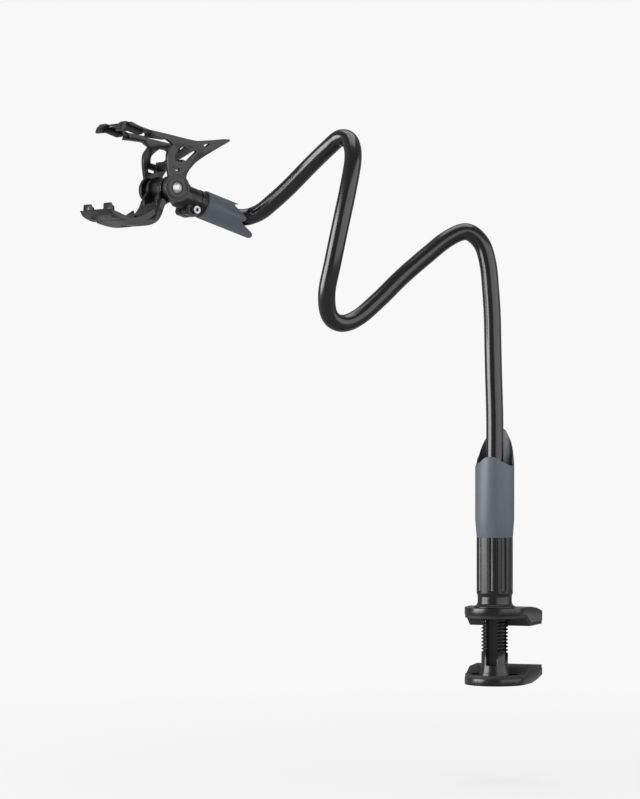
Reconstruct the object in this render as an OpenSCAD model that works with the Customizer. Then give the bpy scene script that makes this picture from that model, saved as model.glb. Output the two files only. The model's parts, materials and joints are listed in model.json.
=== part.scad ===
// Gooseneck phone holder: a slotted threaded post with two table jaws, a fluted grip nut,
// a bent arm and a sprung phone clip on a swivel.
// Millimetres, +Z up. The origin is the middle of the lower jaw's clamping face, +Y points
// over the table and X runs along its edge. The arm is drawn in one bent pose.

/* [Table jaws] */
// Opening between the two clamping faces
jaw_gap = 36; // [10:1:70]
// Width of both jaws, also the diameter of their round front
jaw_w = 54; // [49:1:64]
// How far each side of the jaws spreads towards the table
jaw_flare = 3; // [0:0.5:4]
// Distance behind the post axis at which the round front ends
front_back = 3; // [0:0.5:6]
// Reach of the jaws behind the post axis
jaw_reach = 52; // [47:1:64]
// Distance behind the post axis at which the clamping face starts
face_start = 18; // [17:0.5:24]
// Depth of the set-back round the post, below the lower clamping face
low_set_back = 5; // [4:0.5:7]
// Depth of the set-back round the post, above the upper clamping face
up_set_back = 8; // [5:0.5:9]
// Thickness of the rubber pads
pad_t = 3; // [2:0.25:4]
// Thickness of the lower jaw with its pad at the clamping face
jaw_t = 14; // [12:0.5:17]
// Extra thickness of the upper jaw
up_more = 3; // [2:0.5:5]
// Amount by which the back of a jaw thins
jaw_thin = 6; // [3:0.5:7]
// How far the pads stay inside the jaw outline
pad_inset = 0.4; // [0.2:0.1:1]

/* [Threaded post] */
// Outside diameter of the post
post_d = 23.5; // [22:0.5:26]
// Length of the post above the lower jaw
post_len = 128; // [122:1:150]
// Width of the four long slots
slot_w = 9.6; // [6:0.2:10]
// Distance from the post axis to the floor of a slot
slot_floor = 5.5; // [5:0.1:7]
// Amount by which the foot flares out all round
foot_flare = 2; // [1:0.25:4]
// Solid height of the foot under the slots
foot_h = 11; // [9:0.5:16]
// Diameter of the screws under the post
post_screw_d = 3.5; // [3:0.25:4]
// Length of those screws in the post
post_screw_len = 8; // [6:0.5:8.5]
// Diameter of the pin that holds the arm in the post
arm_pin_d = 3; // [2:0.5:4]

/* [Grip] */
// Wall of the grip nut round its thread
grip_wall = 3.95; // [3.5:0.05:6]
// Height of the grip nut
grip_h = 61.2; // [52:0.2:66]
// Number of flutes round the grip
flute_n = 8; // [6:1:12]
// Width of one flute
flute_w = 6; // [3:0.5:7]
// Depth of one flute
flute_depth = 1.2; // [0.6:0.1:1.6]
// Turn of the grip as it is drawn
grip_turn = 23; // [0:1:45]
// Height of the snap collar under the grip
collar_h = 11.6; // [9:0.2:13]
// Step from the grip out to the foot of the collar
collar_step = 2.2; // [2:0.1:4]
// Step from the grip in to the neck of the collar
neck_step = 0.9; // [0.5:0.1:1.2]
// Length of the thread in the grip nut
nut_thread = 29; // [20:1:34]

/* [Base sleeve] */
// Swell of the sleeve out from the grip, above its taper
sleeve_swell = 1.25; // [1:0.05:3]
// Turn of the sleeve as it is drawn
sleeve_turn = 2; // [0:1:45]
// Height of the sleeve to its lowest edge
sleeve_h = 61.6; // [50:0.2:70]
// Extra height of the front hump
sleeve_hump = 8.8; // [4:0.5:14]
// Extra height of the back tongue
sleeve_tongue = 34; // [15:0.5:40]
// Wall of both sleeves
sleeve_wall = 1.5; // [1.2:0.1:2]

/* [Arm] */
// Outside diameter of the bending arm
arm_d = 15; // [13:0.5:16]
// Diameter of its metal core
core_d = 9; // [6:0.5:10]
// Depth of the arm in each socket
arm_socket = 22; // [16:1:24]

/* [Swivel and head sleeve] */
// Outside diameter of the swivel barrel
barrel_d = 22; // [21:0.5:24]
// Diameter of the spigot that the barrel turns on
spigot_d = 16; // [15:0.5:16.5]
// Distance from the clip hinge to the back end of the barrel
barrel_end = 34; // [33:0.5:38]
// Length of the collar between barrel and sleeve
ferrule_flange = 6; // [4:0.5:8]
// Outside diameter of the head sleeve
head_sleeve_d = 25.2; // [24.6:0.1:28]
// Length of the head sleeve to the tip of its tongue
head_sleeve_len = 56; // [50:0.5:62]
// Diameter of the clamp bolt across the barrel
bolt_d = 4; // [3:0.25:4.5]

/* [Phone clip] */
// Opening of the clip between its pads
clip_gap = 71.5; // [64:0.5:76]
// Distance of the lower pads under the hinge
clip_low = 39; // [36:0.5:42]
// Half width of the hinge over the side plates
hinge_half = 22; // [21:0.5:24]
// Thickness of the lever's side plates
plate_t = 4; // [3:0.25:4.5]
// Radius of the round hinge plates
disc_r = 12.6; // [12:0.1:13.4]
// Diameter of the hinge pin
pin_d = 5; // [4:0.25:6]
// Diameter of the pin's domed head
pin_head_d = 9.8; // [8.5:0.1:11]
// Thickness of the lower arm
arm_t = 4.5; // [3.5:0.25:5]
// Half width of the jaw bars
bar_half = 26; // [25:0.5:32]
// Distance of each claw from the middle of the clip
claw_at = 17; // [14:0.5:18]
// Width of one claw
claw_w = 10; // [7:0.5:12]
// Wire of the two torsion springs
spring_wire = 1; // [0.7:0.05:1.05]
// Turns of each torsion spring
spring_turns = 4; // [3:1:4]

/* [Hidden] */

$fn = 64;
eps = 0.01;
// Clearances: a running fit, a gap between parts that pass each other, and a side gap.
fit = 0.05;
pass_gap = 0.3;

black = "#2b2c2e";
rubber = "#3c3d3f";
slate = "#5b666c";
steel = "#d8dadb";

// Post axis behind the middle of the clamping face.
post_y = -(face_start + jaw_reach) / 2;
jaw_r = jaw_w / 2;
jaw_corner = 1.5;
slope_from = 4;

// Round sizes that follow the post.
foot_d = post_d + 2 * foot_flare;
thread_bore = post_d + 0.2;
grip_d = thread_bore + 2 * grip_wall;
collar_d = grip_d + 2 * collar_step;
sleeve_r = grip_d / 2 + sleeve_swell;

// Lobes of the base sleeve's top edge, in radii from the middle and shares of their height.
HUMP = [[0, 1], [0.29, 0.87], [0.57, 0.48], [0.8, 0.2], [0.94, 0.04], [1, 0]];
TONGUE = [[0, 1], [0.31, 0.945], [0.48, 0.82], [0.68, 0.64], [0.81, 0.44], [0.91, 0.18], [0.97, 0.04],
    [1, 0]];

// Mouth of the head sleeve, in lengths and radii of the sleeve.
SLEEVE_MOUTH = [[0.661, 1.111], [0.607, 0.905], [0.5, 0.667], [0.589, 0.397], [0.705, 0.127],
    [0.732, -0.095], [0.696, -0.27], [0.686, -0.397], [0.821, -0.587], [0.946, -0.762], [1, -0.984],
    [0.973, -1.19]];

// Heights of the lower jaw, counted from its clamping face.
low_seat = -low_set_back - pad_t;
low_floor = -jaw_t;
post_top = low_seat + post_len;
slot_base = low_seat + foot_h;
slot_top = post_top - 25;

// Heights of the upper jaw, which mirrors the lower one.
up_face = jaw_gap;
up_inner = up_face + up_set_back;
up_top = up_face + jaw_t + up_more;

// Grip stack on the upper jaw.
washer_t = 0.8;
flange_t = 2;
flange_d = collar_d - 6;
neck_d = collar_d - 8.6;
neck_r = grip_d / 2 - neck_step;
nut_foot = up_top + washer_t + fit;
grip_foot = up_top + collar_h + pass_gap;
sleeve_z = nut_foot + grip_h - washer_t;
spigot_sleeve_d = grip_d - 2 * sleeve_wall - 0.2;
spigot_sleeve_h = 36;

// Centre line of the arm, counted from the post axis.
ARM = [[0, 0, post_top - arm_socket], [0, 0, 140], [0, 0, 180], [0, 0, 220], [-1, 0, 255],
    [-2, 1, 286], [-3, 3, 307], [-5, 5, 330], [-8, 7, 353], [-14, 7, 371], [-26, 3, 381],
    [-41, -4, 375], [-58, -13, 360], [-77, -25, 341], [-94, -38, 321], [-109, -52, 305],
    [-120, -65, 300], [-127, -76, 307], [-127, -83, 326], [-121, -85, 352], [-115, -82, 384],
    [-110, -75, 417], [-109, -65, 443], [-115, -55, 458], [-126, -48, 461.5], [-138, -45, 453.5],
    [-157, -38, 439], [-180.5, -29.5, 420], [-199, -24, 406.5], [-208, -20.5, 401],
    [-215.5, -18.5, 398], [-223, -19.5, 396], [-230.5, -23.5, 396]];

// Clip hinge, counted from the post axis, with the turn and rise of the clip.
HINGE = [-277, -81.5, 418];
head_turn = 232.5;
head_rise = 17;
head_n = [cos(head_rise) * cos(head_turn), cos(head_rise) * sin(head_turn), sin(head_rise)];
head_back = barrel_end + 0.3 + ferrule_flange;
tube_stop = head_back + 6;
ROUTE = concat(ARM, [for (s = [24, 16, 8, 0]) HINGE - (tube_stop + s) * head_n]);

// Clip heights over the hinge and along the clip.
upper_face = clip_gap - clip_low;
low_pad_t = 1.6;
up_pad_t = 3;
bar_t = arm_t - 0.5;
claw_n = 56;
upper_n = 62;
clip_back = 46;

// A point of a smooth curve through four neighbours.
function blend(a, b, c, d, t) = 0.5 * (2 * b + (c - a) * t + (2 * a - 5 * b + 4 * c - d) * t * t
    + (3 * b - a - 3 * c + d) * t * t * t);
// A smooth curve through points, with n steps between each two.
function smooth(p, n) = let(m = len(p) - 1) concat(
    [for (i = [0:m - 1]) for (k = [0:n - 1])
        blend(i > 0 ? p[i - 1] : 2 * p[0] - p[1], p[i], p[i + 1],
            i < m - 1 ? p[i + 2] : 2 * p[m] - p[m - 1], k / n)], [p[m]]);
function unit(v) = v / norm(v);
function heading(p, i) = unit(p[min(i + 1, len(p) - 1)] - p[max(i - 1, 0)]);
function level(v, t) = unit(v - (v * t) * t);
// Side vectors carried along a path without twist.
function sides(p, first) = [for (i = 0, v = level(first, heading(p, 0)); i < len(p);
    i = i + 1, v = i < len(p) ? level(v, heading(p, i)) : v) v];
function ring(c, v, w, r, n) = [for (k = [0:n - 1]) c + r * (cos(360 * k / n) * v
    + sin(360 * k / n) * w)];
function rings(p, r, n, first) = let(s = sides(p, first))
    [for (i = [0:len(p) - 1]) each ring(p[i], s[i], cross(heading(p, i), s[i]), r, n)];
function walls(m, n, at = 0, flip = false) = [for (i = [0:m - 2]) for (k = [0:n - 1])
    let(a = at + i * n + k, b = at + i * n + (k + 1) % n)
        each (flip ? [[b, a, a + n], [b, a + n, b + n]] : [[a, b, b + n], [a, b + n, a + n]])];

// A round bar swept along a path.
module bar(p, d, n, first = [1, 0, 0]) {
    m = len(p);
    polyhedron(rings(p, d / 2, n, first), concat(walls(m, n, 0, true),
        [[for (k = [0:n - 1]) k], [for (k = [n - 1:-1:0]) (m - 1) * n + k]]));
}

// A round pipe swept along a path.
module pipe(p, d, hole, n, first = [1, 0, 0]) {
    m = len(p);
    polyhedron(concat(rings(p, d / 2, n, first), rings(p, hole / 2, n, first)),
        concat(walls(m, n, 0, true), walls(m, n, m * n),
            [for (k = [0:n - 1]) let(j = (k + 1) % n) each [[k, j, m * n + j],
                [k, m * n + j, m * n + k]]],
            [for (k = [0:n - 1]) let(j = (k + 1) % n, e = (m - 1) * n, f = (2 * m - 1) * n)
                each [[e + j, e + k, f + k], [e + j, f + k, f + j]]]));
}

module at_post() {
    translate([0, post_y, 0]) children();
}

// Clip frame: x towards the phone, y along the hinge pin and z up the phone.
module at_head() {
    at_post() translate(HINGE) rotate([0, -head_rise, head_turn]) children();
}

// A bar along the barrel axis between two distances behind the hinge.
module along(from, to, d) {
    translate([-to, 0, 0]) rotate([0, 90, 0]) cylinder(d = d, h = to - from);
}

// A pin along the hinge axis.
module across(from, to, d) {
    translate([0, to, 0]) rotate([90, 0, 0]) cylinder(d = d, h = to - from);
}

// A side outline given the width of the clip between two places.
module plate(from, to) {
    translate([0, to, 0]) rotate([90, 0, 0]) linear_extrude(to - from) children();
}

// Outline of both jaws from above.
module jaw_plan(inset = 0) {
    r = jaw_r - inset;
    c = jaw_corner;
    hull() {
        translate([0, front_back]) circle(r = r, $fn = 96);
        for (s = [-1, 1]) translate([s * (r + jaw_flare - c), jaw_reach - c - inset])
            circle(r = c, $fn = 32);
    }
}

// Side outline of a jaw: its inner faces up, set back at the post, and its outer face below.
module jaw_side(top, bottom, drop) {
    back = jaw_reach + 1;
    polygon(concat([[-jaw_r - 1, -drop + top], [slope_from, -drop + top],
        [face_start, top], [back, top]],
        smooth([[back, bottom + jaw_thin], [jaw_reach - 8, bottom + jaw_thin * 0.64],
            [jaw_reach - 18, bottom + jaw_thin * 0.3], [jaw_reach - 32, bottom]], 4),
        [[-jaw_r - 1, bottom]]));
}

module jaw_slab(top, bottom, drop, inset = 0) {
    intersection() {
        translate([0, 0, bottom - 1]) linear_extrude(top - bottom + 2) jaw_plan(inset);
        translate([-jaw_w, 0, 0]) rotate([90, 0, 90]) linear_extrude(2 * jaw_w)
            jaw_side(top, bottom, drop);
    }
}

// Rubber layer that follows the inner face of a jaw.
module pad_layer(drop) {
    difference() {
        jaw_slab(0, low_floor - 5, drop, pad_inset);
        translate([-jaw_w, 0, 0]) rotate([90, 0, 90]) linear_extrude(2 * jaw_w)
            polygon([[-jaw_r - 2, low_floor - 30], [-jaw_r - 2, -drop - pad_t],
                [slope_from, -drop - pad_t], [face_start, -pad_t], [jaw_reach + 2, -pad_t],
                [jaw_reach + 2, low_floor - 30]]);
    }
}

module lower_jaw() {
    color(black) at_post() difference() {
        jaw_slab(-pad_t, low_floor, low_set_back);
        translate([0, 0, low_seat]) cylinder(d = foot_d + 0.6, h = 30);
        translate([0, 0, low_floor - 1]) for (k = [0:3]) rotate([0, 0, 45 + 90 * k])
            translate([8.5, 0, 0]) {
                cylinder(d = post_screw_d + 0.3, h = 30);
                cylinder(d = post_screw_d * 2, h = 1 + screw_sink());
            }
    }
}

function screw_sink() = low_seat - low_floor - 3;

module lower_pad() {
    color(rubber) at_post() difference() {
        pad_layer(low_set_back);
        translate([0, 0, low_seat - 1]) cylinder(d = foot_d + 0.6, h = 30);
        translate([0, 0, -low_set_back - 1.2]) cylinder(d = jaw_w - 12, h = 1.2 + eps);
    }
}

module threaded_post() {
    color(black) at_post() difference() {
        rotate_extrude($fn = 96) polygon(concat([[0, low_seat], [foot_d / 2, low_seat],
            [foot_d / 2, low_seat + 1.5]],
            smooth([[foot_d / 2, low_seat + 3], [post_d / 2 + 0.8, low_seat + 6.5],
                [post_d / 2, low_seat + foot_h + 1]], 4),
            [[post_d / 2, post_top - 1], [post_d / 2 - 1, post_top], [0, post_top]]));
        for (k = [0:3]) rotate([0, 0, 90 * k]) translate([-slot_w / 2, -post_d, slot_base])
            cube([slot_w, post_d - slot_floor, slot_top - slot_base]);
        translate([0, 0, post_top - arm_socket]) cylinder(d = arm_d + 2 * fit, h = arm_socket + 1);
        translate([0, 0, low_seat - 1]) for (k = [0:3]) rotate([0, 0, 45 + 90 * k])
            translate([8.5, 0, 0]) cylinder(d = post_screw_d + 2 * fit, h = post_screw_len + 1.5);
        translate([0, 0, post_top - arm_socket / 2]) rotate([0, 90, 0])
            cylinder(d = arm_pin_d + 2 * fit, h = post_d + 2, center = true);
    }
}

module post_screws() {
    color(steel) at_post() for (k = [0:3]) rotate([0, 0, 45 + 90 * k]) translate([8.5, 0, 0])
        difference() {
            union() {
                translate([0, 0, low_seat - 3]) cylinder(d = post_screw_d, h = 3 + post_screw_len);
                translate([0, 0, low_seat - 3 - 1.6])
                    cylinder(d = post_screw_d * 2 - 0.4, h = 1.6);
            }
            translate([0, 0, low_seat - 5]) for (a = [0, 90]) rotate([0, 0, a])
                translate([-1.6, -0.35, 0]) cube([3.2, 0.7, 1.2]);
        }
}

module arm_pin() {
    color(steel) at_post() translate([0, 0, post_top - arm_socket / 2]) rotate([0, 90, 0])
        cylinder(d = arm_pin_d, h = post_d - 1.6, center = true);
}

module gooseneck_core() {
    color(steel) at_post() difference() {
        bar(smooth(ROUTE, 2), core_d - 0.3, 12);
        translate([0, 0, post_top - arm_socket / 2]) rotate([0, 90, 0])
            cylinder(d = arm_pin_d + 2 * fit, h = post_d, center = true);
    }
}

module gooseneck_skin() {
    color(black) at_post() difference() {
        pipe(smooth(ROUTE, 2), arm_d, core_d, 12);
        translate([0, 0, post_top - arm_socket / 2]) rotate([0, 90, 0])
            cylinder(d = arm_pin_d + 2 * fit, h = post_d, center = true);
    }
}

module head_ferrule() {
    color(black) at_head() difference() {
        union() {
            along(15, barrel_end + 1, spigot_d);
            along(barrel_end + 0.3, head_back, barrel_d + 0.6);
            along(head_back - eps, head_back + 22, head_sleeve_d - 2 * sleeve_wall - 0.1);
        }
        along(tube_stop, head_back + 23, arm_d + 2 * fit);
        difference() {
            along(bolt_s() - bolt_d / 2 - 0.4, bolt_s() + bolt_d / 2 + 0.4, spigot_d + 2);
            along(bolt_s() - bolt_d, bolt_s() + bolt_d, spigot_d - 2.8);
        }
        translate([-head_back - 17, 0, 0]) cylinder(d = 3 + 2 * fit, h = head_sleeve_d);
    }
}

function bolt_s() = barrel_end - 3.2;
function bolt_w() = -spigot_d / 2 - 1;

module ferrule_screw() {
    color(steel) at_head() translate([-head_back - 17, 0, 0]) difference() {
        translate([0, 0, arm_d / 2 + fit + 0.05])
            cylinder(d = 3, h = head_sleeve_d / 2 - arm_d / 2 - 0.6);
        translate([0, 0, head_sleeve_d / 2 - 1.4]) cylinder(d = 1.6, h = 2, $fn = 6);
    }
}

module head_sleeve() {
    color(slate) at_head() difference() {
        union() {
            along(head_back + 1, head_back + head_sleeve_len + 6, head_sleeve_d);
            translate([-head_back - 1, 0, 0]) rotate([0, 90, 0])
                cylinder(d1 = head_sleeve_d, d2 = head_sleeve_d - 1.6, h = 1);
        }
        along(head_back - 1, head_back + head_sleeve_len + 9, head_sleeve_d - 2 * sleeve_wall);
        plate(-head_sleeve_d, head_sleeve_d) polygon([for (p = concat([[1.43, 1.59], [0.643, 1.59]],
            smooth(SLEEVE_MOUTH, 3), [[1.43, -1.19]]))
                [-head_back - p[0] * head_sleeve_len, p[1] * head_sleeve_d / 2]]);
        translate([-head_back - 17, 0, 0]) cylinder(d = 3 + 2 * fit, h = head_sleeve_d);
    }
}

// Key blocks that slide in the post's slots.
module keys(h) {
    for (k = [0:3]) rotate([0, 0, 90 * k])
        translate([-slot_w / 2 + pass_gap, slot_floor + 1, 0])
            cube([slot_w - 2 * pass_gap, post_d / 2 - slot_floor, h]);
}

module upper_jaw() {
    color(black) at_post() difference() {
        union() {
            difference() {
                translate([0, 0, up_face]) mirror([0, 0, 1]) jaw_slab(-pad_t, -jaw_t - up_more,
                    up_set_back);
                translate([0, 0, up_inner - 1]) cylinder(d = post_d + 2 * pass_gap, h = 40);
            }
            translate([0, 0, up_inner + pad_t]) keys(up_top - up_inner - pad_t);
        }
    }
}

module upper_pad() {
    color(rubber) at_post() difference() {
        translate([0, 0, up_face]) mirror([0, 0, 1]) pad_layer(up_set_back);
        translate([0, 0, up_face - 1]) cylinder(d = post_d + 4, h = 30);
    }
}

module grip_collar() {
    color(black) at_post() difference() {
        rotate_extrude($fn = 96) polygon(concat([[flange_d / 2 + pass_gap, up_top],
            [collar_d / 2, up_top], [collar_d / 2, up_top + 0.9]],
            smooth([[collar_d / 2 - 0.4, up_top + 1.3], [neck_r + 1.1, up_top + 2.4],
                [neck_r + 0.25, up_top + 4], [neck_r, up_top + 6]], 4),
            [[neck_r, up_top + collar_h - 0.3], [neck_r - 0.3, up_top + collar_h],
            [neck_d / 2 + pass_gap, up_top + collar_h],
            [neck_d / 2 + pass_gap, nut_foot + flange_t + pass_gap],
            [flange_d / 2 + pass_gap, nut_foot + flange_t + pass_gap]]));
    }
}

module thrust_washer() {
    color(steel) at_post() translate([0, 0, up_top]) difference() {
        cylinder(d = flange_d - 1, h = washer_t);
        translate([0, 0, -1]) cylinder(d = post_d + 2 * pass_gap, h = 4);
    }
}

module grip_nut() {
    color(black) at_post() rotate([0, 0, grip_turn]) difference() {
        rotate_extrude($fn = 96) polygon([[thread_bore / 2, nut_foot], [flange_d / 2, nut_foot],
            [flange_d / 2, nut_foot + flange_t], [neck_d / 2, nut_foot + flange_t],
            [neck_d / 2, grip_foot], [grip_d / 2 - 0.7, grip_foot], [grip_d / 2, grip_foot + 0.9],
            [grip_d / 2, sleeve_z], [spigot_sleeve_d / 2, sleeve_z],
            [spigot_sleeve_d / 2, sleeve_z + spigot_sleeve_h - 1],
            [spigot_sleeve_d / 2 - 1, sleeve_z + spigot_sleeve_h],
            [post_d / 2 + 1, sleeve_z + spigot_sleeve_h], [post_d / 2 + 1, nut_foot + nut_thread + 1],
            [thread_bore / 2, nut_foot + nut_thread]]);
        for (k = [0:flute_n - 1]) rotate([0, 0, 360 * (k + 0.5) / flute_n])
            translate([grip_d / 2 - flute_depth, 0, grip_foot + 0.8]) flute();
    }
}

// One flute with a round lower end, open at the sleeve.
module flute() {
    translate([0, 0, flute_w / 2]) rotate([0, 90, 0]) cylinder(d = flute_w, h = 5, $fn = 24);
    translate([0, -flute_w / 2, flute_w / 2])
        cube([5, flute_w, sleeve_z - grip_foot - 0.8 - flute_w / 2]);
}

module base_sleeve() {
    top = sleeve_z + sleeve_h;
    color(slate) at_post() rotate([0, 0, sleeve_turn]) difference() {
        rotate_extrude($fn = 96) polygon([[grip_d / 2 - sleeve_wall, sleeve_z],
            [grip_d / 2, sleeve_z], [sleeve_r, sleeve_z + 15.5],
            [sleeve_r, top + sleeve_tongue + 1], [sleeve_r - sleeve_wall, top + sleeve_tongue + 1],
            [sleeve_r - sleeve_wall, sleeve_z + spigot_sleeve_h + 3],
            [grip_d / 2 - sleeve_wall, sleeve_z + spigot_sleeve_h + 1]]);
        sleeve_cut(sleeve_hump, HUMP, -1, top);
        sleeve_cut(sleeve_tongue, TONGUE, 1, top);
    }
}

// Cuts half of the sleeve's top edge to a round lobe of the given height and shape.
module sleeve_cut(lobe, shape, side, top) {
    w = sleeve_r + 0.2;
    edge = smooth(concat([for (i = [len(shape) - 1:-1:1]) [-shape[i][0], shape[i][1]]], shape), 3);
    translate([0, side > 0 ? 2 * w : 0, 0]) rotate([90, 0, 0]) linear_extrude(2 * w)
        polygon(concat([[-w - 1, top + sleeve_tongue + 3], [-w - 1, top]],
            [for (p = edge) [p[0] * w, top + lobe * p[1]]],
            [[w + 1, top], [w + 1, top + sleeve_tongue + 3]]));
}

module swivel_barrel() {
    hub = 8;
    color(black) at_head() difference() {
        union() {
            across(-hub, hub, 18);
            intersection() {
                along(0, 14, 18);
                translate([-20, -hub, -10]) cube([20, 2 * hub, 20]);
            }
            translate([-15, 0, 0]) rotate([0, 90, 0])
                cylinder(d1 = barrel_d, d2 = 16, h = 3);
            along(15 - eps, barrel_end, barrel_d);
            plate(-9, 9) polygon([[-barrel_end, -5], [-barrel_end, bolt_w() - 4],
                [-barrel_end + 2, bolt_w() - 6], [-23.5, bolt_w() - 6], [-21.5, bolt_w() - 4],
                [-21.5, -5]]);
            plate(-3, 3) polygon([[-17, barrel_d / 2 - 1], [-18.5, barrel_d / 2 + 1.1],
                [-22, barrel_d / 2 + 1.1], [-24.5, barrel_d / 2 - 1]]);
        }
        across(-20, 20, pin_d + 2 * fit);
        along(14.5, barrel_end + 1, spigot_d + 2 * fit);
        translate([-barrel_end - 1, -0.75, -30]) cube([barrel_end - 16, 1.5, 30]);
        translate([-bolt_s(), 0, bolt_w()]) {
            across(-20, 20, bolt_d + 2 * fit);
            across(-20, -9, 9);
            across(9, 20, 7.6);
        }
    }
}

module clamp_bolt() {
    color(steel) at_head() translate([-bolt_s(), 0, bolt_w()]) difference() {
        union() {
            across(-13, 9.5, bolt_d);
            across(9, 12, 7);
        }
        translate([0, 14, 0]) rotate([90, 0, 0]) cylinder(d = 3.2, h = 4, $fn = 6);
    }
}

module clamp_nut() {
    color(black) at_head() translate([-bolt_s(), 0, bolt_w()]) difference() {
        translate([0, -9, 0]) rotate([90, 0, 0]) cylinder(d = 8, h = 3.2, $fn = 6);
        across(-20, 0, bolt_d + 2 * fit);
    }
}

// Centre line of the lower arm from the hinge to the lower jaw.
function arm_at(t) = let(a = [7, -11], b = [7.5, -36], c = [18, -clip_low - low_pad_t - arm_t / 2],
    d = [clip_back - 2, -clip_low - low_pad_t - arm_t / 2])
    (1 - t) ^ 3 * a + 3 * (1 - t) ^ 2 * t * b + 3 * (1 - t) * t ^ 2 * c + t ^ 3 * d;
function arm_side(s) = [for (i = [0:16]) let(t = i / 16, v = arm_at(min(t + 0.02, 1))
    - arm_at(max(t - 0.02, 0)), u = v / norm(v)) arm_at(t) + s * arm_t / 2 * [-u[1], u[0]]];

// Jaw bar seen from the side, a claw at its far end.
module low_bar(claw) {
    floor_w = -clip_low - low_pad_t;
    polygon(concat([[clip_back - 3, floor_w], [clip_back - 4, floor_w - bar_t + 1],
        [clip_back, floor_w - bar_t]], smooth([[claw_n - 7, floor_w - bar_t],
        [claw_n, floor_w - bar_t + 1], [claw_n + 4, floor_w + (claw ? 2 : 0)],
        [claw_n + 5, floor_w + (claw ? 6.4 : 1)]], 3),
        claw ? [[claw_n + 3, floor_w + 7], [claw_n + 1, floor_w + 5], [claw_n, floor_w]]
            : [[claw_n + 2, floor_w]]));
}

module holder_arm() {
    ear_in = 8.8;
    ear_out = 12.4;
    color(black) at_head() difference() {
        union() {
            for (s = [0, 1]) mirror([0, s, 0]) {
                plate(ear_in, ear_out) {
                    circle(r = 11);
                    polygon([[-5, -9], [9.5, -5], [12, -12], [10, -18], [4.4, -18]]);
                }
                plate(ear_in, 17.5) polygon([[4.6, -12.6], [9.4, -12.6], [9.8, -20],
                    [5.2, -20]]);
            }
            intersection() {
                plate(-bar_half, bar_half) polygon(concat(arm_side(1),
                    [for (i = [16:-1:0]) arm_side(-1)[i]]));
                rotate([0, 90, 0]) rotate([0, 0, 90]) linear_extrude(120, center = true)
                    polygon([[-17.5, -16.5], [-17.5, -20], [-hinge_half, -34],
                        [-hinge_half, -70], [hinge_half, -70], [hinge_half, -34],
                        [17.5, -20], [17.5, -16.5]]);
            }
            plate(-bar_half, bar_half) low_bar(false);
            for (s = [-1, 1]) plate(s * claw_at - claw_w / 2, s * claw_at + claw_w / 2)
                low_bar(true);
            for (s = [-1, 1]) plate(s * claw_at - 1, s * claw_at + 1) polygon(concat(
                [for (i = [5:13]) (arm_side(-1)[i] + arm_side(1)[i]) / 2],
                [[34, -clip_low - 0.4], [24, -clip_low + 5], [15, -clip_low + 15]]));
        }
        across(-20, 20, pin_d + 0.02);
        translate([22, 0, -clip_low - 8]) linear_extrude(20) oblong(20, 12);
    }
}

// A slot with round ends, x long and y wide.
module oblong(x, y) {
    for (s = [-1, 1]) translate([s * (x - y) / 2, 0]) circle(d = y, $fn = 32);
    square([x - y, y], center = true);
}

module lower_claw_pads() {
    floor_w = -clip_low - low_pad_t;
    color(rubber) at_head() for (s = [-1, 1])
        plate(s * claw_at - claw_w / 2 + 0.5, s * claw_at + claw_w / 2 - 0.5)
            polygon([[clip_back, floor_w], [claw_n, floor_w],
                [claw_n + 1, floor_w + 5], [claw_n - 0.8, floor_w + 5.6],
                [claw_n - 2.2, floor_w + low_pad_t], [clip_back + 1, floor_w + low_pad_t]]);
}

module hinge_pin() {
    color(steel) at_head() {
        across(-hinge_half + 1.5, hinge_half - 1.4, pin_d);
        intersection() {
            across(hinge_half - 1.5, hinge_half + 2, pin_head_d);
            translate([0, hinge_half - 9.5, 0]) sphere(d = 21.6);
        }
    }
}

module hinge_cap() {
    color(steel) at_head() difference() {
        intersection() {
            across(-hinge_half - 2, -hinge_half + 1.5, pin_head_d);
            translate([0, -hinge_half + 9.5, 0]) sphere(d = 21.6);
        }
        across(-hinge_half + 1.48, 0, pin_d + 2 * fit);
    }
}

module friction_washers() {
    color(steel) at_head() for (s = [0, 1]) mirror([0, s, 0]) difference() {
        across(8.1, 8.7, 15);
        across(0, 20, pin_d + 2 * fit);
    }
}

module torsion_springs() {
    r = pin_d / 2 + 2.4;
    step = 4.3 / (spring_turns + 0.25);
    color(steel) at_head() for (s = [0, 1]) mirror([0, s, 0])
        bar([for (i = [0:14 * spring_turns]) let(a = 360 * i / 14)
            [r * cos(a), 12.8 + spring_wire / 2 + step * a / 360 * 0.87, r * sin(a)]],
            spring_wire, 6, [1, 0, 0]);
}

// Side outline of the lever: hinge plate, open triangle and pressing end.
module lever_side() {
    difference() {
        union() {
            circle(r = disc_r, $fn = 96);
            polygon(concat(smooth([[-6.5, 9], [-6, 15], [-8.5, 22], [-13.5, 30], [-24, 41.5],
                [-32, 49.6], [-39.4, 57]], 3), [[-38.8, 58.6]],
                smooth([[-32, 56.4], [-20.5, 51.3], [-8, 46.2], [6, 43.8], [20, 42],
                    [34, 40]], 3), [[34, 34.6], [22, 37]],
                smooth([[15, 35], [17.8, 27], [15.6, 18], [12.4, 11], [10, 6]], 3)));
        }
        polygon([[2.2, 14.2], [9.6, 13.8], [10.6, 16.8], [2.2, 17.2]]);
        polygon(concat(smooth([[9.6, 22], [10.6, 27], [8.6, 31.6], [4, 37.4]], 3),
            [[-2, 38.4], [-9.6, 37], [-4.6, 28.6], [-1.6, 23]]));
        polygon([[-12.4, 45], [-20.4, 48], [-17.4, 43.4]]);
    }
}

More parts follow.
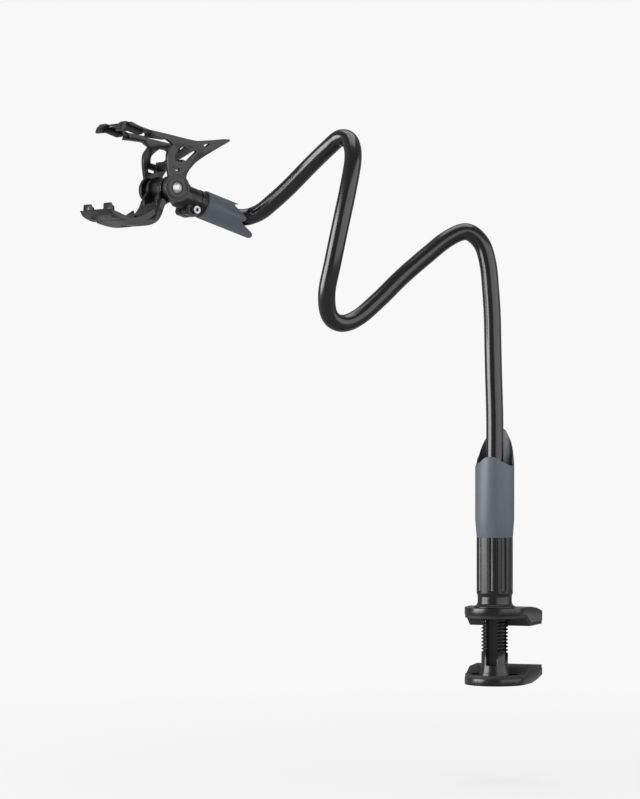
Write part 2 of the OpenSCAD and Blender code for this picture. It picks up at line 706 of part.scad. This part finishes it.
// Upper jaw seen from the side, with or without its hooked end.
module top_bar(claw) {
    w = upper_face + up_pad_t;
    polygon(concat([[22, 37], [22, 41.7]], smooth([[34, 40], [44, 38], [54, 37.6],
        [upper_n, w + 2.8]], 3), claw ? [[upper_n + 4, w + 2.6], [upper_n + 6.4, w - 2],
        [upper_n + 6.4, w - 6], [upper_n + 4.4, w - 6.2], [upper_n + 3, w - 3], [upper_n + 1, w]]
        : [[upper_n + 1.5, w + 2.5], [upper_n + 1, w]], [[clip_back, w], [clip_back - 2, w + 1.5],
        [34, 34.6]]));
}

module clip_lever() {
    inner = hinge_half - plate_t;
    color(black) at_head() difference() {
        union() {
            for (s = [0, 1]) mirror([0, s, 0]) plate(inner, hinge_half) lever_side();
            plate(-hinge_half, hinge_half) polygon([[-2.2, 18.2], [2.2, 18.2], [2.2, 25.4],
                [-2.2, 25.4]]);
            plate(-hinge_half, hinge_half) polygon(concat([[-39.4, 57], [-38.8, 58.6]],
                smooth([[-32, 56.4], [-20.5, 51.3], [-8, 46.2]], 3), [[-8, 43.4],
                [-20.5, 48.6], [-32, 53.6]]));
            intersection() {
                plate(-bar_half, bar_half) union() {
                    polygon([[22, 37], [22, 41.7], [40, 38.8], [40, 33]]);
                    top_bar(false);
                }
                translate([0, 0, 0]) linear_extrude(90) polygon([[21, -hinge_half],
                    [34, -hinge_half], [46, -bar_half], [90, -bar_half], [90, bar_half],
                    [46, bar_half], [34, hinge_half], [21, hinge_half]]);
            }
            for (s = [-1, 1]) plate(s * claw_at - claw_w / 2, s * claw_at + claw_w / 2)
                top_bar(true);
        }
        across(-30, 30, pin_d + 2 * fit);
        for (s = [0, 1]) mirror([0, s, 0]) {
            across(hinge_half - 1.6, hinge_half + 1, pin_head_d + 0.8);
            difference() {
                across(hinge_half - 0.4, hinge_half + 1, 2 * disc_r - 4);
                across(hinge_half - 1, hinge_half + 2, 2 * disc_r - 4.8);
            }
        }
        translate([31, 0, 30]) linear_extrude(20) oblong(12, 26);
    }
}

module upper_claw_pads() {
    w = upper_face + up_pad_t;
    color(rubber) at_head() for (s = [-1, 1])
        plate(s * claw_at - claw_w / 2 + 0.5, s * claw_at + claw_w / 2 - 0.5)
            polygon([[clip_back, w], [upper_n + 1, w], [upper_n + 3, w - 3],
                [upper_n + 3.9, w - 5.4], [upper_n + 2.2, w - 5.4], [upper_n - 1, w - up_pad_t],
                [clip_back + 1, w - up_pad_t]]);
}

lower_jaw();
lower_pad();
threaded_post();
post_screws();
arm_pin();
gooseneck_core();
gooseneck_skin();
head_ferrule();
ferrule_screw();
head_sleeve();
upper_jaw();
upper_pad();
grip_collar();
thrust_washer();
grip_nut();
base_sleeve();
swivel_barrel();
clamp_bolt();
clamp_nut();
holder_arm();
lower_claw_pads();
hinge_pin();
hinge_cap();
friction_washers();
torsion_springs();
clip_lever();
upper_claw_pads();
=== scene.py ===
import json
import math

import bmesh
import bpy
from mathutils import Matrix, Vector


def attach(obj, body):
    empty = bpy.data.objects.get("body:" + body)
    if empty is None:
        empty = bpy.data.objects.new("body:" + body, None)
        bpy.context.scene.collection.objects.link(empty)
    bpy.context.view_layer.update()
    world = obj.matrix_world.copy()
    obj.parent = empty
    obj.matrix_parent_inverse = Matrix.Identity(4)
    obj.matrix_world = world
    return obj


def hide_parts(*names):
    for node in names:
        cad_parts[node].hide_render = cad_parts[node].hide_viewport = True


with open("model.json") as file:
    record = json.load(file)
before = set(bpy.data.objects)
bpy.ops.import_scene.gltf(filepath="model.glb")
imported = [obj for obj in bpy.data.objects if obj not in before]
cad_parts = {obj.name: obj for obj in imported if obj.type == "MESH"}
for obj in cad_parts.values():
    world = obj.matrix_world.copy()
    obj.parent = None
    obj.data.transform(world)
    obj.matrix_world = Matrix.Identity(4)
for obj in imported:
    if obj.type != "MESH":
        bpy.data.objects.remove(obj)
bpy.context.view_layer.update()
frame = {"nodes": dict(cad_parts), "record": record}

mm = 0.001
nodes = frame["nodes"]


# The view of the photograph: a long lens, level, from the front right of the post.
cameraView = {
    "place": (0.7173, -2.7355, 0.2342), "tilt": 90.0, "turn": 18.0, "lens": 144.2,
    "sensor": 36.0, "farEnd": 50.0,
}

camera = bpy.data.objects.new("camera", bpy.data.cameras.new("camera"))
bpy.context.scene.collection.objects.link(camera)
camera.data.sensor_fit = "VERTICAL"
camera.data.sensor_height = cameraView["sensor"]
camera.data.lens = cameraView["lens"]
camera.data.clip_end = cameraView["farEnd"]
camera.location = cameraView["place"]
camera.rotation_euler = (math.radians(cameraView["tilt"]), 0, math.radians(cameraView["turn"]))
bpy.context.scene.camera = camera
bpy.context.scene.view_settings.view_transform = "Standard"
print("camera placed")


# Shader maths is written as plain expressions on these wires.
class Wire:
    def __init__(self, shader, socket):
        self.shader, self.socket = shader, socket

    def maths(self, operation, first, second):
        return self.shader.node("ShaderNodeMath", {"operation": operation},
            {0: first, 1: second})

    def __add__(self, other):
        return self.maths("ADD", self, other)

    def __radd__(self, other):
        return self.maths("ADD", other, self)

    def __sub__(self, other):
        return self.maths("SUBTRACT", self, other)

    def __rsub__(self, other):
        return self.maths("SUBTRACT", other, self)

    def __mul__(self, other):
        return self.maths("MULTIPLY", self, other)

    def __rmul__(self, other):
        return self.maths("MULTIPLY", other, self)


class Shader:
    def __init__(self, name):
        self.material = bpy.data.materials.new(name)
        self.material.use_nodes = True
        self.tree = self.material.node_tree
        self.tree.nodes.clear()

    def node(self, kind, settings=None, inputs=None, output=0):
        made = self.tree.nodes.new(kind)
        for name, value in (settings or {}).items():
            if name == "stops":
                ramp = made.color_ramp.elements
                while len(ramp) < len(value):
                    ramp.new(1)
                for stop, (place, shade) in zip(ramp, value):
                    stop.position, stop.color = place, (*shade, 1)
            else:
                setattr(made, name, value)
        for name, value in (inputs or {}).items():
            if isinstance(value, Wire):
                self.tree.links.new(value.socket, made.inputs[name])
            else:
                made.inputs[name].default_value = value
        return Wire(self, made.outputs[output]) if len(made.outputs) else made

    def blend(self, factor, first, second):
        return self.node("ShaderNodeMix", {"data_type": "RGBA"}, {0: factor, 6: first, 7: second},
            output=2)

    def finish(self, surface):
        self.node("ShaderNodeOutputMaterial", {}, {"Surface": surface})
        return self.material


# Screen colours, 0 to 255, as the shader wants them.
def colour(red, green, blue):
    def linear(part):
        part /= 255
        return part / 12.92 if part <= 0.04045 else ((part + 0.055) / 1.055) ** 2.4
    return (linear(red), linear(green), linear(blue), 1)


finishLook = {
    "blackPlastic": {"base": (16, 16, 17), "rough": 0.25, "grain": 0.05, "scale": 1500},
    "padRubber": {"base": (34, 35, 36), "rough": 0.7, "grain": 0.25, "scale": 1800},
    "slatePlastic": {"base": (80, 87, 94), "rough": 0.46, "grain": 0.08, "scale": 1500},
    # A lighter copy of the black plastic for the hinge rings: painted light on the rings, so that
    # the groove between them reads as dark shade.
    "discPaintedLight": {"base": (48, 50, 49), "rough": 0.38, "grain": 0.06, "scale": 1500},
    "glossSkin": {"base": (8, 8, 9), "rough": 0.21, "grain": 0.0, "scale": 260, "coat": 0.3,
        "coatRough": 0.14, "vary": 0.2},
    "brightSteel": {"base": (176, 177, 179), "rough": 0.3, "grain": 0.03, "scale": 2200,
        "metal": 1.0},
    # Dark steel parts; the same finish is also painted shade in the bolt's socket.
    "darkSteelAndShade": {"base": (34, 34, 36), "rough": 0.36, "grain": 0.05, "scale": 2200,
        "metal": 0.6},
    "coreMetal": {"base": (180, 181, 184), "rough": 0.35, "grain": 0.05, "scale": 2200,
        "metal": 1.0},
}

# How much a finish changes over a piece: fine grain, broad clouds and rubbed spots.
wear = {
    "grainDetail": 3.0, "grainBreak": 0.6, "grainDepth": 0.00006, "grainRough": 0.04,
    "cloudScale": 28.0, "cloudDetail": 4.0, "cloudRough": 0.05, "cloudPaler": (1.16, 0.001),
    "spotScale": 160.0, "spotDetail": 5.0, "spotRough": 0.02, "spotPaler": (1.22, 0.002),
    "spotFrom": 0.52, "spotTo": 0.72, "spotShare": 0.45,
}


def lifted(base, times, more):
    return tuple(min(1, part * times + more) for part in base[:3]) + (1,)


# One finish: moulded grain, slow changes of shade, and duller spots where hands rub.
def moulded(name, look):
    shader = Shader(name)
    place = shader.node("ShaderNodeTexCoord", output=3)
    grain = shader.node("ShaderNodeTexNoise", {}, {"Vector": place, "Scale": look["scale"],
        "Detail": wear["grainDetail"], "Roughness": wear["grainBreak"]})
    cloud = shader.node("ShaderNodeTexNoise", {}, {"Vector": place,
        "Scale": wear["cloudScale"], "Detail": wear["cloudDetail"]})
    spots = shader.node("ShaderNodeTexNoise", {}, {"Vector": place,
        "Scale": wear["spotScale"], "Detail": wear["spotDetail"]})
    rubbed = shader.node("ShaderNodeValToRGB", {"stops": [(wear["spotFrom"], (0, 0, 0)),
        (wear["spotTo"], (1, 1, 1))]}, {"Fac": spots})
    base = colour(*look["base"])
    clouded = shader.blend(cloud, base, lifted(base, *wear["cloudPaler"]))
    shade = shader.blend(wear["spotShare"] * rubbed, clouded, lifted(base, *wear["spotPaler"]))
    vary = look.get("vary", 1.0)
    rough = (look["rough"] + (cloud - 0.5) * (wear["cloudRough"] * vary)
        + (grain - 0.5) * (wear["grainRough"] * vary) + rubbed * (wear["spotRough"] * vary))
    inputs = {"Base Color": shade, "Roughness": rough, "Metallic": look.get("metal", 0.0)}
    if look["grain"]:
        inputs["Normal"] = shader.node("ShaderNodeBump", {},
            {"Height": grain, "Strength": look["grain"], "Distance": wear["grainDepth"]})
    if "coat" in look:
        inputs["Coat Weight"], inputs["Coat Roughness"] = look["coat"], look["coatRough"]
    return shader.finish(shader.node("ShaderNodeBsdfPrincipled", {}, inputs))


materials = {name: moulded(name, look) for name, look in finishLook.items()}
slotMaterial = {
    "black_plastic": "blackPlastic", "pad_rubber": "padRubber", "slate_plastic": "slatePlastic",
    "gloss_skin": "glossSkin", "core_metal": "coreMetal", "bright_steel": "brightSteel",
    "dark_steel": "darkSteelAndShade",
}
slotOf = {part["node"]: part["material_slot"] for part in frame["record"]["subparts"]}
bodyOf = {node: body for body, names in frame["record"]["behaviour"]["bodies"].items()
    for node in names}
for name, node in nodes.items():
    node.data.materials.clear()
    node.data.materials.append(materials[slotMaterial[slotOf[name]]])
print("materials made")


def keep(piece, node, replaced=True):
    piece.data.materials.clear()
    piece.data.materials.append(materials[slotMaterial[slotOf[node]]])
    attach(piece, bodyOf[node])
    if replaced:
        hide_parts(node)
    return piece


def link(name, mesh):
    piece = bpy.data.objects.new(name, mesh)
    bpy.context.scene.collection.objects.link(piece)
    return piece


# Copies of the solids are merged, and their flat faces joined, before anything else.
copying = {"merge": 2e-6, "flatTurn": 0.6}


def mergeClose(shape):
    bmesh.ops.remove_doubles(shape, verts=shape.verts, dist=copying["merge"])


def cleanCopy(node):
    shape = bmesh.new()
    shape.from_mesh(nodes[node].data)
    mergeClose(shape)
    bmesh.ops.dissolve_limit(shape, angle_limit=math.radians(copying["flatTurn"]),
        verts=shape.verts, edges=shape.edges)
    return shape


def toMesh(shape, name, place=None):
    if place is not None:
        bmesh.ops.transform(shape, matrix=place, verts=shape.verts)
    mesh = bpy.data.meshes.new(name)
    shape.to_mesh(mesh)
    shape.free()
    mesh.shade_smooth()
    return mesh


def finalMesh(piece):
    mesh = bpy.data.meshes.new_from_object(
        piece.evaluated_get(bpy.context.evaluated_depsgraph_get()))
    mesh.shade_smooth()
    return mesh


# A closed outline through points in mm, ready to be spun.
def outlined(shape, points):
    corners = [shape.verts.new([part * mm for part in point]) for point in points]
    return corners + [shape.edges.new((a, b))
        for a, b in zip(corners, corners[1:] + corners[:1])]


def capped(shape):
    bmesh.ops.holes_fill(shape, edges=[edge for edge in shape.edges if edge.is_boundary])


# The same shape again on the other side of y = 0.
def doubled(shape):
    bmesh.ops.mirror(shape, geom=shape.verts[:] + shape.edges[:] + shape.faces[:], axis="Y",
        merge_dist=0)


def facingOut(shape):
    bmesh.ops.recalc_face_normals(shape, faces=shape.faces)


# Moulded parts get the small edge radii that their tools leave.
edgeRadius = {
    "lower_jaw": 0.9, "upper_jaw": 0.9, "lower_pad": 0.6, "upper_pad": 0.6,
    "grip_collar": 0.3, "thrust_washer": 0.15, "base_sleeve": 0.35, "head_sleeve": 0.35,
    "head_ferrule": 0.4, "ferrule_screw": 0.2, "swivel_barrel": 0.5, "holder_arm": 0.7,
    "clip_lever": 0.7, "lower_claw_pads": 0.6, "upper_claw_pads": 0.6, "clamp_bolt": 0.25,
    "clamp_nut": 0.4, "post_screws": 0.15, "arm_pin": 0.3, "hinge_pin": 0.15, "hinge_cap": 0.15,
    "friction_washers": 0.1,
}
edgeRound = {"segments": 3, "sharperThan": 32.0}


def roundEdges(piece, radius):
    bevel = piece.modifiers.new("edges", "BEVEL")
    bevel.width, bevel.segments = radius * mm, edgeRound["segments"]
    bevel.limit_method, bevel.angle_limit = "ANGLE", math.radians(edgeRound["sharperThan"])
    bevel.harden_normals, bevel.use_clamp_overlap = True, True


def softened(node, radius):
    piece = link(node + "_form", toMesh(cleanCopy(node), node + "_form"))
    roundEdges(piece, radius)
    keep(piece, node)


for node, radius in edgeRadius.items():
    softened(node, radius)
print("moulded parts softened")


# The thread of the post is cut into it along one long helix.
thread = {
    "post": (0, -35), "pitch": 3.0, "from": 14.0, "to": 117.0, "steps": 32, "sharp": 38.0,
    "groove": [(13.2, -1.45), (11.75, -1.05), (10.55, -0.42), (10.3, 0), (10.55, 0.42),
        (11.75, 1.05), (13.2, 1.45)],
}


def carved(piece, cutter):
    cut = piece.modifiers.new("carving", "BOOLEAN")
    cut.operation, cut.solver, cut.object = "DIFFERENCE", "MANIFOLD", cutter
    mesh = finalMesh(piece)
    piece.modifiers.clear()
    bpy.data.objects.remove(cutter)
    return mesh


def cutThread():
    post = link("post_form", toMesh(cleanCopy("threaded_post"), "post_form"))
    shape = bmesh.new()
    groove = outlined(shape, [(r, 0, z) for r, z in thread["groove"]])
    turns = (thread["to"] - thread["from"]) / thread["pitch"]
    bmesh.ops.spin(shape, geom=groove, cent=(0, 0, 0), axis=(0, 0, 1),
        dvec=(0, 0, thread["pitch"] / thread["steps"] * mm), angle=turns * 2 * math.pi,
        steps=round(turns * thread["steps"]), use_merge=False)
    capped(shape)
    facingOut(shape)
    place = Matrix.Translation((thread["post"][0] * mm, thread["post"][1] * mm,
        thread["from"] * mm))
    post.data = carved(post, link("thread_cutter", toMesh(shape, "thread_cutter", place)))
    post.data.set_sharp_from_angle(angle=math.radians(thread["sharp"]))
    keep(post, "threaded_post")


# The grip: a turned body with scooped flutes, one slit and a skirt over the neck below it.
grip = {
    "turn": 45.5, "flutes": 8, "scoop": 3.3, "scoopPlace": 17.5, "scoopFoot": 69.1,
    "scoopSteps": 32, "footSteps": 8, "radius": 15.8, "top": 114.25, "above": 2.0, "steps": 128,
    "slitTurn": 293.5, "slitWidth": 1.0, "slitFoot": 63.4, "slitDepth": 1.7, "slitReach": 4.0,
    "edge": 0.22,
    "profile": [(11.85, 53.85), (15, 53.85), (15, 55.85), (13.7, 55.85), (13.7, 64.85),
        (14.93, 64.85), (14.93, 62.5), (15.02, 62.5), (15.12, 63.4), (15.36, 64.5), (15.76, 65.4),
        (15.8, 65.7), (15.8, 66.1), (15.8, 90), (15.8, 113.9), (15.8, 114.25), (14.2, 114.25),
        (14.2, 149.25), (13.2, 150.25), (12.75, 150.25), (12.75, 83.85), (11.85, 82.85)],
}


def turned(shape, profile, steps):
    start = len(shape.verts)
    bmesh.ops.spin(shape, geom=outlined(shape, [(r, 0, z) for r, z in profile]),
        cent=(0, 0, 0), axis=(0, 0, 1), dvec=(0, 0, 0), angle=2 * math.pi, steps=steps,
        use_merge=True)
    shape.verts.ensure_lookup_table()
    return shape.verts[start:]


def fluteCutters():
    shape = bmesh.new()
    angles = [math.pi / 2 / grip["footSteps"] * k for k in range(grip["footSteps"] + 1)]
    arc = [(grip["scoop"] * math.sin(a), -grip["scoop"] * math.cos(a)) for a in angles]
    rise = grip["top"] + grip["above"] - grip["scoopFoot"]
    for k in range(grip["flutes"]):
        made = turned(shape, arc + [(grip["scoop"], rise), (0, rise)], grip["scoopSteps"])
        turn = Matrix.Rotation(math.radians(grip["turn"] + 360 / grip["flutes"] * k), 4, "Z")
        bmesh.ops.transform(shape, verts=made, matrix=turn @ Matrix.Translation(
            (grip["scoopPlace"] * mm, 0, grip["scoopFoot"] * mm)))
    slit = bmesh.ops.create_cube(shape, size=1.0)["verts"]
    height = grip["top"] + grip["above"] - grip["slitFoot"]
    out = grip["radius"] - grip["slitDepth"] + grip["slitReach"] / 2
    bmesh.ops.transform(shape, verts=slit, matrix=(
        Matrix.Rotation(math.radians(grip["slitTurn"]), 4, "Z")
        @ Matrix.Translation((out * mm, 0, (grip["slitFoot"] + height / 2) * mm))
        @ Matrix.Diagonal((grip["slitReach"] * mm, grip["slitWidth"] * mm, height * mm, 1))))
    mergeClose(shape)
    facingOut(shape)
    return shape


def makeGrip():
    place = Matrix.Translation((thread["post"][0] * mm, thread["post"][1] * mm, 0))
    body = bmesh.new()
    turned(body, grip["profile"], grip["steps"])
    mergeClose(body)
    facingOut(body)
    piece = link("grip_body", toMesh(body, "grip_body", place))
    piece.data = carved(piece, link("flute_cutters",
        toMesh(fluteCutters(), "flute_cutters", place)))
    roundEdges(piece, grip["edge"])
    keep(piece, "grip_nut")


cutThread()
makeGrip()
print("thread and grip cut")


# The bent arm, swept along the same points as the solid.
armRoute = {
    "width": 15.0, "roundness": 14, "postBack": 35.0, "steps": 10,
    "points": [(0, 0, 98), (0, 0, 140), (0, 0, 180), (0, 0, 220), (-1, 0, 255), (-2, 1, 286),
        (-3, 3, 307), (-5, 5, 330), (-8, 7, 353), (-14, 7, 371), (-26, 3, 381), (-41, -4, 375),
        (-58, -13, 360), (-77, -25, 341), (-94, -38, 321), (-109, -52, 305), (-120, -65, 300),
        (-127, -76, 307), (-127, -83, 326), (-121, -85, 352), (-115, -82, 384),
        (-110, -75, 417), (-109, -65, 443), (-115, -55, 458), (-126, -48, 461.5),
        (-138, -45, 453.5), (-157, -38, 439), (-180.5, -29.5, 420), (-199, -24, 406.5),
        (-208, -20.5, 401), (-215.5, -18.5, 398), (-223, -19.5, 396), (-230.5, -23.5, 396)],
    "hinge": (-277, -81.5, 418), "turn": 232.5, "rise": 17.0, "stop": 46.3,
    "straight": (24, 16, 8, 0),
}


def headAxis():
    rise, turn = math.radians(armRoute["rise"]), math.radians(armRoute["turn"])
    return Vector((math.cos(rise) * math.cos(turn), math.cos(rise) * math.sin(turn),
        math.sin(rise)))


def armPath():
    points = [Vector(p) for p in armRoute["points"]]
    hinge = Vector(armRoute["hinge"])
    points += [hinge - (armRoute["stop"] + s) * headAxis() for s in armRoute["straight"]]
    points = [2 * points[0] - points[1], *points, 2 * points[-1] - points[-2]]
    path = []
    for a, b, c, d in zip(points, points[1:], points[2:], points[3:]):
        for k in range(armRoute["steps"]):
            t = k / armRoute["steps"]
            path.append(0.5 * (2 * b + (c - a) * t + (2 * a - 5 * b + 4 * c - d) * t * t
                + (3 * b - a - 3 * c + d) * t ** 3))
    path.append(points[-2])
    return [(p - Vector((0, armRoute["postBack"], 0))) * mm for p in path]


def makeArm():
    path = armPath()
    curve = bpy.data.curves.new("arm_skin", "CURVE")
    curve.dimensions, curve.twist_mode = "3D", "MINIMUM"
    curve.bevel_depth = armRoute["width"] / 2 * mm
    curve.bevel_resolution = armRoute["roundness"]
    line = curve.splines.new("POLY")
    line.points.add(len(path) - 1)
    for point, place in zip(line.points, path):
        point.co = (*place, 1)
    line.use_smooth = True
    piece = link("arm_curve", curve)
    mesh = finalMesh(piece)
    bpy.data.objects.remove(piece)
    keep(link("arm_skin", mesh), "gooseneck_skin")


makeArm()
print("arm swept")


# The head's own axes: along the clip, along the hinge pin, and up.
def headPlace():
    hinge = Vector(armRoute["hinge"]) - Vector((0, armRoute["postBack"], 0))
    return (Matrix.Translation(hinge * mm)
        @ Matrix.Rotation(math.radians(armRoute["turn"]), 4, "Z")
        @ Matrix.Rotation(math.radians(-armRoute["rise"]), 4, "Y"))


# Two wound springs beside the hinge, each from one ring of wire.
springCoil = {
    "middle": 4.9, "wire": 0.86, "sides": 14, "start": 13.25, "pitch": 0.93, "turns": 4,
    "steps": 40,
}


def windSprings():
    shape = bmesh.new()
    place = Matrix.Translation((springCoil["middle"] * mm, springCoil["start"] * mm, 0))
    ring = bmesh.ops.create_circle(shape, segments=springCoil["sides"],
        radius=springCoil["wire"] / 2 * mm, cap_ends=False, matrix=place)["verts"]
    bmesh.ops.spin(shape, geom=ring + shape.edges[:], cent=(0, 0, 0), axis=(0, 1, 0),
        dvec=(0, springCoil["pitch"] / springCoil["steps"] * mm, 0),
        angle=springCoil["turns"] * 2 * math.pi,
        steps=springCoil["turns"] * springCoil["steps"], use_merge=False)
    capped(shape)
    doubled(shape)
    facingOut(shape)
    keep(link("spring_coils", toMesh(shape, "spring_coils", headPlace())), "torsion_springs")


# Raised rings on both round plates of the hinge, given as radius and height.
discRing = {
    "plate": 22.0, "steps": 96, "merge": 1e-6, "sharp": 50.0,
    "rings": [[(5.5, -0.3), (5.5, 0.16), (5.62, 0.28), (9.05, 0.28), (9.2, 0.14), (9.2, -0.3)],
        [(10.7, -0.3), (10.7, 0.12), (10.85, 0.24), (12.1, 0.24), (12.35, 0.02), (12.35, -0.3)]],
}


def turnRings():
    shape = bmesh.new()
    for profile in discRing["rings"]:
        ring = outlined(shape, [(r, discRing["plate"] + h, 0) for r, h in profile])
        bmesh.ops.spin(shape, geom=ring, cent=(0, 0, 0), axis=(0, 1, 0), dvec=(0, 0, 0),
            angle=2 * math.pi, steps=discRing["steps"], use_merge=True)
    doubled(shape)
    bmesh.ops.remove_doubles(shape, verts=shape.verts, dist=discRing["merge"])
    facingOut(shape)
    mesh = toMesh(shape, "disc_rings", headPlace())
    mesh.set_sharp_from_angle(angle=math.radians(discRing["sharp"]))
    piece = keep(link("disc_rings", mesh), "clip_lever", False)
    # The raised rings take the lighter copy of the black plastic: painted light, against which
    # the groove between the rings reads as shade.
    piece.data.materials[0] = materials["discPaintedLight"]


# Painted shade in the clamp bolt's hexagon socket: a dark plug at its floor, where the recess
# only lies in shade.
boltSocketShade = {
    "along": -30.8, "up": -9.0, "sides": 6, "width": 3.1, "from": 10.03, "to": 11.3,
    "rim": 0.4, "sunk": 0.3,
}


def paintSocketShade():
    shape = bmesh.new()
    radius = boltSocketShade["width"] / 2 * mm
    bmesh.ops.create_cone(shape, cap_ends=True, segments=boltSocketShade["sides"], radius1=radius,
        radius2=radius, depth=(boltSocketShade["to"] - boltSocketShade["from"]) * mm)
    ends = [face for face in shape.faces if len(face.verts) == boltSocketShade["sides"]]
    bmesh.ops.inset_region(shape, faces=ends, thickness=boltSocketShade["rim"] * mm,
        depth=-boltSocketShade["sunk"] * mm, use_even_offset=True)
    middle = (boltSocketShade["from"] + boltSocketShade["to"]) / 2
    place = (headPlace()
        @ Matrix.Translation((boltSocketShade["along"] * mm, middle * mm, boltSocketShade["up"] * mm))
        @ Matrix.Rotation(math.radians(90), 4, "X"))
    piece = keep(link("socket_painted_shade", toMesh(shape, "socket_painted_shade", place)), "clamp_bolt", False)
    # The dark steel finish here is painted shade for the socket's recess.
    piece.data.materials[0] = materials["darkSteelAndShade"]


windSprings()
turnRings()
paintSocketShade()
print("springs and hinge rings made")


# Studio: a pale floor and backdrop, two soft boxes with a dark gap between, one box above.
studio = {
    "pale": 0.939, "floorDrop": -0.10, "floorSize": 24.0, "floorShade": 0.8,
    "floorMirrored": 0.3, "room": 0.12, "mirrored": 0.2, "shadowFrom": 0.1,
    "shadowReach": 0.9, "shadowShare": 0.25, "aim": (-0.1, -0.08, 0.28),
    "lamps": {
        "leftBox": {"place": (-2.62, -1.72, 0.75), "size": (2.5, 1.9), "power": 118},
        "rightBox": {"place": (2.1, -0.69, 0.75), "size": (4.4, 1.9), "power": 46},
        "topBox": {"place": (-0.2, 0.3, 2.9), "size": (2.4, 2.4), "power": 42},
    },
}


def grey(shade):
    return (shade, shade, shade, 1)


# Pale to the eye and fainter in reflections; near the object it also takes the shadow.
def paleMaterial(name):
    shader = Shader(name)
    rays = [shader.node("ShaderNodeLightPath", output=ray)
        for ray in ("Is Camera Ray", "Is Glossy Ray", "Is Transmission Ray")]
    seen = rays[0].maths("MAXIMUM", rays[0],
        rays[1].maths("MAXIMUM", rays[1] * studio["mirrored"], rays[2]))
    place = shader.node("ShaderNodeTexCoord", output=3)
    away = shader.node("ShaderNodeVectorMath", {"operation": "LENGTH"}, {0: place}, output=1)
    near = shader.node("ShaderNodeMapRange", {"clamp": True}, {"Value": away,
        "From Min": studio["shadowFrom"], "From Max": studio["shadowReach"], "To Min": 1.0,
        "To Max": 0.0})
    plain = shader.node("ShaderNodeBsdfDiffuse", {}, {"Color": shader.blend(rays[1],
        grey(studio["floorShade"]), grey(studio["floorMirrored"]))})
    glow = shader.node("ShaderNodeEmission", {},
        {"Color": grey(studio["pale"]), "Strength": 1.0})
    return shader.finish(shader.node("ShaderNodeMixShader", {},
        {0: seen * (1 - near * studio["shadowShare"]), 1: plain, 2: glow}))


def makeFloor():
    shape = bmesh.new()
    bmesh.ops.create_grid(shape, x_segments=1, y_segments=1, size=studio["floorSize"] / 2,
        matrix=Matrix.Translation((0, 0, studio["floorDrop"])))
    floor = link("floor", toMesh(shape, "floor"))
    floor.data.materials.append(paleMaterial("floorPale"))


def makeWorld():
    world = bpy.data.worlds.new("studio")
    bpy.context.scene.world = world
    world.use_nodes = True
    tree = world.node_tree
    room, out = tree.nodes["Background"], tree.nodes["World Output"]
    room.inputs["Color"].default_value = grey(1)
    room.inputs["Strength"].default_value = studio["room"]
    pale = tree.nodes.new("ShaderNodeBackground")
    pale.inputs["Color"].default_value = grey(studio["pale"])
    path, mix = tree.nodes.new("ShaderNodeLightPath"), tree.nodes.new("ShaderNodeMixShader")
    soft = tree.nodes.new("ShaderNodeMath")
    soft.operation, soft.inputs[1].default_value = "MULTIPLY", studio["mirrored"]
    tree.links.new(path.outputs["Is Glossy Ray"], soft.inputs[0])
    last = soft.outputs[0]
    for ray in ("Is Camera Ray", "Is Transmission Ray"):
        either = tree.nodes.new("ShaderNodeMath")
        either.operation = "MAXIMUM"
        tree.links.new(path.outputs[ray], either.inputs[0])
        tree.links.new(last, either.inputs[1])
        last = either.outputs[0]
    tree.links.new(last, mix.inputs[0])
    tree.links.new(room.outputs[0], mix.inputs[1])
    tree.links.new(pale.outputs[0], mix.inputs[2])
    tree.links.new(mix.outputs[0], out.inputs["Surface"])


def makeLamps():
    aim = Vector(studio["aim"])
    for name, lamp in studio["lamps"].items():
        light = bpy.data.lights.new(name, "AREA")
        light.shape, light.size, light.size_y = "RECTANGLE", *lamp["size"]
        light.energy = lamp["power"]
        holder = link(name, light)
        holder.location = lamp["place"]
        holder.rotation_euler = (aim - holder.location).to_track_quat("-Z", "Y").to_euler()
        holder.visible_camera = False


makeFloor()
makeWorld()
makeLamps()
print("studio lit")
